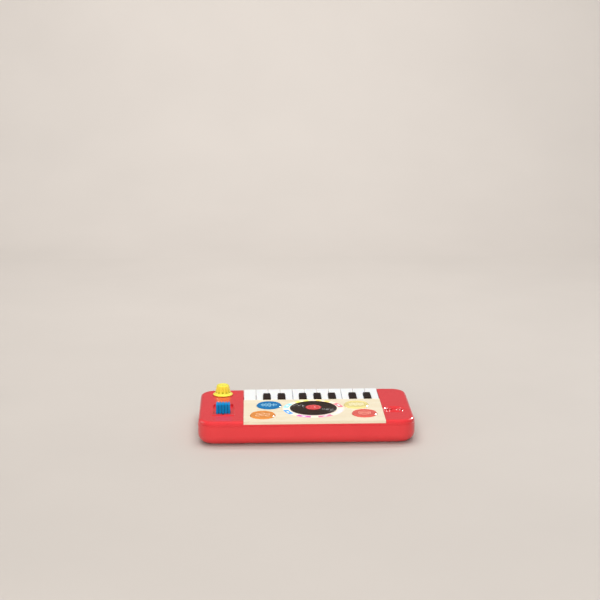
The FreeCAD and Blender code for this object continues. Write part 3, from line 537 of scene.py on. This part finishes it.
patterns = {"blue": bluePattern, "orange": orangePattern, "yellow": yellowPattern, "coral": coralPattern}
for name, pattern in patterns.items():
    middle = middleOf("button_" + name)
    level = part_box("button_" + name)[1][2] - prints["inset"]
    build = bmesh.new()
    for path, closed in pattern():
        shifted = [(middle[0] + x, middle[1] + y) for x, y in path]
        ribbon(build, shifted, prints["line"], level - prints["root"], level + prints["rise"], closed)
    ink = mouldedPlastic(name + "Ink", {"colour": inks[name], **inkLook})
    newPiece("print_" + name, closeMesh(build, "print_" + name), "button_" + name, ink)
print("button prints made")

# printed rings on the label
labelLook = {
    "rings": (10.4 * mm, 4.2 * mm), "line": 0.5 * mm, "inset": 0.6 * mm, "half": 0.05 * mm,
    "ink": {"colour": (0.95, 0.26, 0.22), "roughness": 0.35, "coat": 0.1}}
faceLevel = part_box("turntable_label")[1][2] - labelLook["inset"]
build = bmesh.new()
for radius in labelLook["rings"]:
    ribbon(build, ringPath((discCentre.x, discCentre.y), radius, 64), labelLook["line"],
           faceLevel - labelLook["half"], faceLevel + labelLook["half"], True)
paleRed = mouldedPlastic("labelInk", labelLook["ink"])
newPiece("label_rings", closeMesh(build, "label_rings"), "turntable", paleRed)

# woven gauze behind the grille slots
gauze = {"radius": 12.6 * mm, "pitch": 1.3 * mm, "thread": 0.5 * mm, "level": 37.4 * mm, "wave": 0.18 * mm}
threadSection = ((-1, 0), (0, 0.6), (1, 0), (0, -0.6))  # across and up, in half threads


def weaveThread(build, middle, index, turned):
    # one thread of the weave, going over and under at each crossing
    offset = index * gauze["pitch"]
    half = math.sqrt(gauze["radius"] ** 2 - offset ** 2)
    steps = max(2, int(2 * half / gauze["pitch"]))
    rows = []
    for step in range(steps + 1):
        far = -half + 2 * half * step / steps
        level = gauze["level"] + gauze["wave"] * (1 if (step + index + turned) % 2 else -1)
        row = []
        for across, rise in threadSection:
            x, y = far, offset + across * gauze["thread"] / 2
            if turned:
                x, y = y, x
            row.append(build.verts.new((middle[0] + x, middle[1] + y, level + rise * gauze["thread"] / 2)))
        rows.append(row)
    for first, second in zip(rows, rows[1:]):
        for k in range(4):
            build.faces.new((first[k], first[(k + 1) % 4], second[(k + 1) % 4], second[k]))


build = bmesh.new()
reach = int(gauze["radius"] / gauze["pitch"])
for turned in (0, 1):
    for index in range(-reach, reach + 1):
        weaveThread(build, middleOf("speaker_frame"), index, turned)
newPiece("speaker_gauze", closeMesh(build, "speaker_gauze"), "case", finishes["part_black"])

# pointer on the knob's crown
pointer = {
    "from": 2.0 * mm, "to": 6.0 * mm, "width": 1.1 * mm, "inset": 0.6 * mm, "root": 0.1 * mm,
    "rise": 0.35 * mm}
knobX, knobY = middleOf("volume_knob")
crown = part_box("volume_knob")[1][2] - pointer["inset"]
build = bmesh.new()
ribbon(build, line((knobX, knobY + pointer["from"]), (knobX, knobY + pointer["to"])), pointer["width"],
       crown - pointer["root"], crown + pointer["rise"])
newPiece("knob_pointer", closeMesh(build, "knob_pointer"), "knob", finishes["knob_yellow"])


def groupMiddles(node, low, high, apart):
    # middles of the groups of a node's points between two heights, from left to right
    groups = []
    slack = 0.01 * mm
    for vertex in nodes[node].data.vertices:
        spot = vertex.co
        if not low - slack < spot.z < high + slack:
            continue
        for group in groups:
            if (group[0].xy - spot.xy).length < apart:
                group.append(spot)
                break
        else:
            groups.append([spot])
    return sorted(tuple((min(p[k] for p in group) + max(p[k] for p in group)) / 2 for k in (0, 1))
                  for group in groups)


# cross recesses in the case screws and the door screw, each drawn as a dark cross in the head: painted
# shade standing in for the hollow of the recess
crossLook = {
    "arm": 1.5 * mm, "width": 0.55 * mm, "rise": 0.06 * mm, "root": 0.2 * mm, "turns": (45, 135),
    "rim": 0.2 * mm, "apart": 8 * mm}
build = bmesh.new()
crosses = 0
for node in ("case_screws", "battery_door_screw"):
    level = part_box(node)[0][2]
    for x, y in groupMiddles(node, level, level + crossLook["rim"], crossLook["apart"]):
        crosses += 1
        for turn in crossLook["turns"]:
            east = crossLook["arm"] * math.cos(math.radians(turn))
            north = crossLook["arm"] * math.sin(math.radians(turn))
            ribbon(build, line((x - east, y - north), (x + east, y + north), 2), crossLook["width"],
                   level + crossLook["root"], level - crossLook["rise"])
newPiece("screw_crosses", closeMesh(build, "screw_crosses"), "case", finishes["magnet_dark"])
print("screw crosses:", crosses)

# grip ridges on the battery door
grip = {
    "count": 6, "pitch": 2.4 * mm, "length": 24 * mm, "width": 1.2 * mm, "rise": 0.4 * mm, "start": 8 * mm}
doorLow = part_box("battery_door")[0]
doorMiddle = middleOf("battery_door")[0]
build = bmesh.new()
for index in range(grip["count"]):
    y = doorLow[1] + grip["start"] + index * grip["pitch"]
    ribbon(build, line((doorMiddle - grip["length"] / 2, y), (doorMiddle + grip["length"] / 2, y)),
           grip["width"], doorLow[2], doorLow[2] - grip["rise"])
newPiece("door_grip", closeMesh(build, "door_grip"), "case", finishes["door_red"])
print("details on the record, grille, knob and door")


# rubber under the keys and buttons: one turned piece for each
def turnedPiece(name, centre, profile, steps, material):
    # the profile is a closed section of (radius, height), swept round the upright line through centre
    build = bmesh.new()
    rows = []
    for radius, height in profile:
        count = steps if radius > 0 else 1
        row = []
        for turn in (2 * math.pi * k / steps for k in range(count)):
            row.append(build.verts.new((centre[0] + radius * math.cos(turn),
                                        centre[1] + radius * math.sin(turn), height)))
        rows.append(row)
    for index, first in enumerate(rows):
        second = rows[(index + 1) % len(rows)]
        for k in range(steps):
            ahead = (k + 1) % steps
            corners = [first[k % len(first)], first[ahead % len(first)],
                       second[ahead % len(second)], second[k % len(second)]]
            corners = list(dict.fromkeys(corners))  # on the axis two corners are one
            if len(corners) > 2:
                build.faces.new(corners)
    return newPiece(name, closeMesh(build, name), "case", material)


rubber = {
    "web": 0.8 * mm, "sink": 0.1 * mm, "foot": 4.2 * mm, "crown": 2.4 * mm, "edge": 0.3 * mm,
    "apart": 6 * mm, "keyKeep": 0.34, "buttonKeep": 0.58,  # share of the height left when fully pressed
    "ringBore": 3.3 * mm, "ringFoot": 5.0 * mm, "ringTop": 4.2 * mm, "ringStep": 1.0 * mm, "steps": 28}
stripLow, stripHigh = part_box("key_dome_strip")
domeFoot = stripLow[2] + rubber["web"] - rubber["sink"]
domeTop = stripHigh[2]
edge = rubber["edge"]
domeProfile = [
    (0, domeFoot), (rubber["foot"], domeFoot), (rubber["foot"] - edge, domeFoot + edge * 2),
    (rubber["crown"] + edge, domeTop - edge), (rubber["crown"], domeTop), (0, domeTop)]
keys = sorted((name for name in nodes if "_key_" in name), key=middleOf)
domes = groupMiddles("key_dome_strip", domeTop - rubber["sink"], domeTop, rubber["apart"])
for key, place in zip(keys, domes, strict=True):
    name = "key_dome_" + key.split("_")[-1]
    dome = turnedPiece(name, place, domeProfile, rubber["steps"], finishes["silicone"])
    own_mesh(dome)
    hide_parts("key_dome_strip")

webLine = (stripLow[1] + stripHigh[1]) / 2
build = bmesh.new()
ribbon(build, line((stripLow[0], webLine), (stripHigh[0], webLine), len(domes)), stripHigh[1] - stripLow[1],
       stripLow[2], stripLow[2] + rubber["web"])
web = newPiece("key_dome_web", closeMesh(build, "key_dome_web"), "case", finishes["silicone"])
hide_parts("key_dome_strip")

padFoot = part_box("button_return_pads")[0][2]
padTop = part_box("button_return_pads")[1][2]
padProfile = [
    (rubber["ringBore"], padFoot), (rubber["ringFoot"], padFoot),
    (rubber["ringFoot"], padFoot + rubber["ringStep"]), (rubber["ringTop"], padTop - edge),
    (rubber["ringTop"] - edge, padTop), (rubber["ringBore"], padTop)]
for name in inks:
    place = middleOf("button_" + name)
    ring = turnedPiece("button_ring_" + name, place, padProfile, rubber["steps"], finishes["silicone"])
    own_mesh(ring)
    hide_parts("button_return_pads")
print("rubber domes:", len(domes), "and button rings:", len(inks))

# camera and light
view = {
    "place": (0.08785, 2.34248, 0.74490), "swing": -0.03405, "tilt": 0.22063, "roll": -0.00155,
    "lens": 88.0422, "sensor": 36.0, "reach": 50}


def makeCamera():
    data = bpy.data.cameras.new("camera")
    data.lens = view["lens"]
    data.sensor_width = view["sensor"]
    data.clip_end = view["reach"]
    camera = bpy.data.objects.new("camera", data)
    scene.collection.objects.link(camera)
    ahead = Vector((math.sin(view["swing"]), -math.cos(view["swing"]), 0))
    right = Vector((-math.cos(view["swing"]), -math.sin(view["swing"]), 0))
    up = Vector((0, 0, 1))
    look = ahead * math.cos(view["tilt"]) - up * math.sin(view["tilt"])
    over = up * math.cos(view["tilt"]) + ahead * math.sin(view["tilt"])
    side = right * math.cos(view["roll"]) + over * math.sin(view["roll"])
    over = over * math.cos(view["roll"]) - right * math.sin(view["roll"])
    turn = Matrix((side, over, -look)).transposed()
    camera.matrix_world = Matrix.Translation(Vector(view["place"])) @ turn.to_4x4()
    scene.camera = camera


makeCamera()

white = (1.0, 1.0, 1.0)
studio = {
    "world": ((0.96, 0.975, 1.0), 0.20),
    "areas": [
        # name, place, aim, width, height, strength, colour, lights surfaces, seen in reflections
        ("ceiling", (0.1, 0.2, 2.4), (0, 0, 0), 2.2, 2.0, 40, (1.0, 0.99, 0.97), True, False),
        ("frontFill", (0.3, 2.6, 1.1), (0, 0, 0.02), 2.0, 1.4, 52, (1.0, 0.985, 0.96), True, False),
        ("leftWindow", (-1.3, -1.1, 0.75), (-0.1, 0, 0.03), 0.32, 0.32, 30, white, False, True),
        ("rightWindow", (1.7, -0.45, 0.95), (0.1, 0, 0.03), 0.25, 0.25, 14, white, False, True),
        ("backdropWash", (0.0, -1.0, 2.6), (0, -2.9, 0.8), 2.6, 1.0, 60, white, True, False),
    ],
    "floor": (0.56, 0.515, 0.475), "patch": (3, 0.98, 1.015), "roughness": 0.75, "specular": 0.12,
    "halfWidth": 5.0, "near": 4.5, "middle": 1.0,
    "bend": -1.5, "bendRadius": 1.3, "bendSteps": 24, "top": 4.0}


def makeLights():
    world = bpy.data.worlds.new("studioWorld")
    world.use_nodes = True
    colour, strength = studio["world"]
    world.node_tree.nodes["Background"].inputs[0].default_value = (*colour, 1)
    world.node_tree.nodes["Background"].inputs[1].default_value = strength
    scene.world = world
    for name, place, aim, width, height, strength, colour, lit, shiny in studio["areas"]:
        data = bpy.data.lights.new(name, "AREA")
        data.shape = "RECTANGLE"
        data.size = width
        data.size_y = height
        data.energy = strength
        data.color = colour
        lamp = bpy.data.objects.new(name, data)
        lamp.location = place
        lamp.visible_diffuse = lit
        lamp.visible_glossy = shiny
        lamp.rotation_euler = (Vector(aim) - Vector(place)).to_track_quat("-Z", "Y").to_euler()
        scene.collection.objects.link(lamp)


def makeSweep(name, profile, material, shiny):
    # one sheet across the studio, following a side profile of (y, z) points
    half = studio["halfWidth"]
    corners = []
    for y, z in profile:
        corners += [(-half, y, z), (half, y, z)]
    faces = [(2 * k, 2 * k + 1, 2 * k + 3, 2 * k + 2) for k in range(len(profile) - 1)]
    mesh = bpy.data.meshes.new(name)
    mesh.from_pydata(corners, [], faces)
    for face in mesh.polygons:
        face.use_smooth = True
    mesh.materials.append(material)
    sheet = bpy.data.objects.new(name, mesh)
    sheet.visible_glossy = shiny
    scene.collection.objects.link(sheet)


def makeFloor():
    material, tree, shader = newMaterial("paleFloor")
    scale, dark, light = studio["patch"]
    wire(tree, ramp(tree, noise(tree, scale, 4), [(0.3, shade(studio["floor"], dark)),
                                                  (0.7, shade(studio["floor"], light))]),
         shader.inputs["Base Color"])
    shader.inputs["Roughness"].default_value = studio["roughness"]
    shader.inputs["Specular IOR Level"].default_value = studio["specular"]
    bend, radius = studio["bend"], studio["bendRadius"]
    makeSweep("floor", [(studio["near"], 0), (studio["middle"], 0), (bend, 0)], material, True)
    curve = arc((bend, radius), radius, -90, -180, studio["bendSteps"])
    makeSweep("backdrop", curve + [(bend - radius, studio["top"])], material, False)


makeLights()
makeFloor()
print("camera and studio ready")
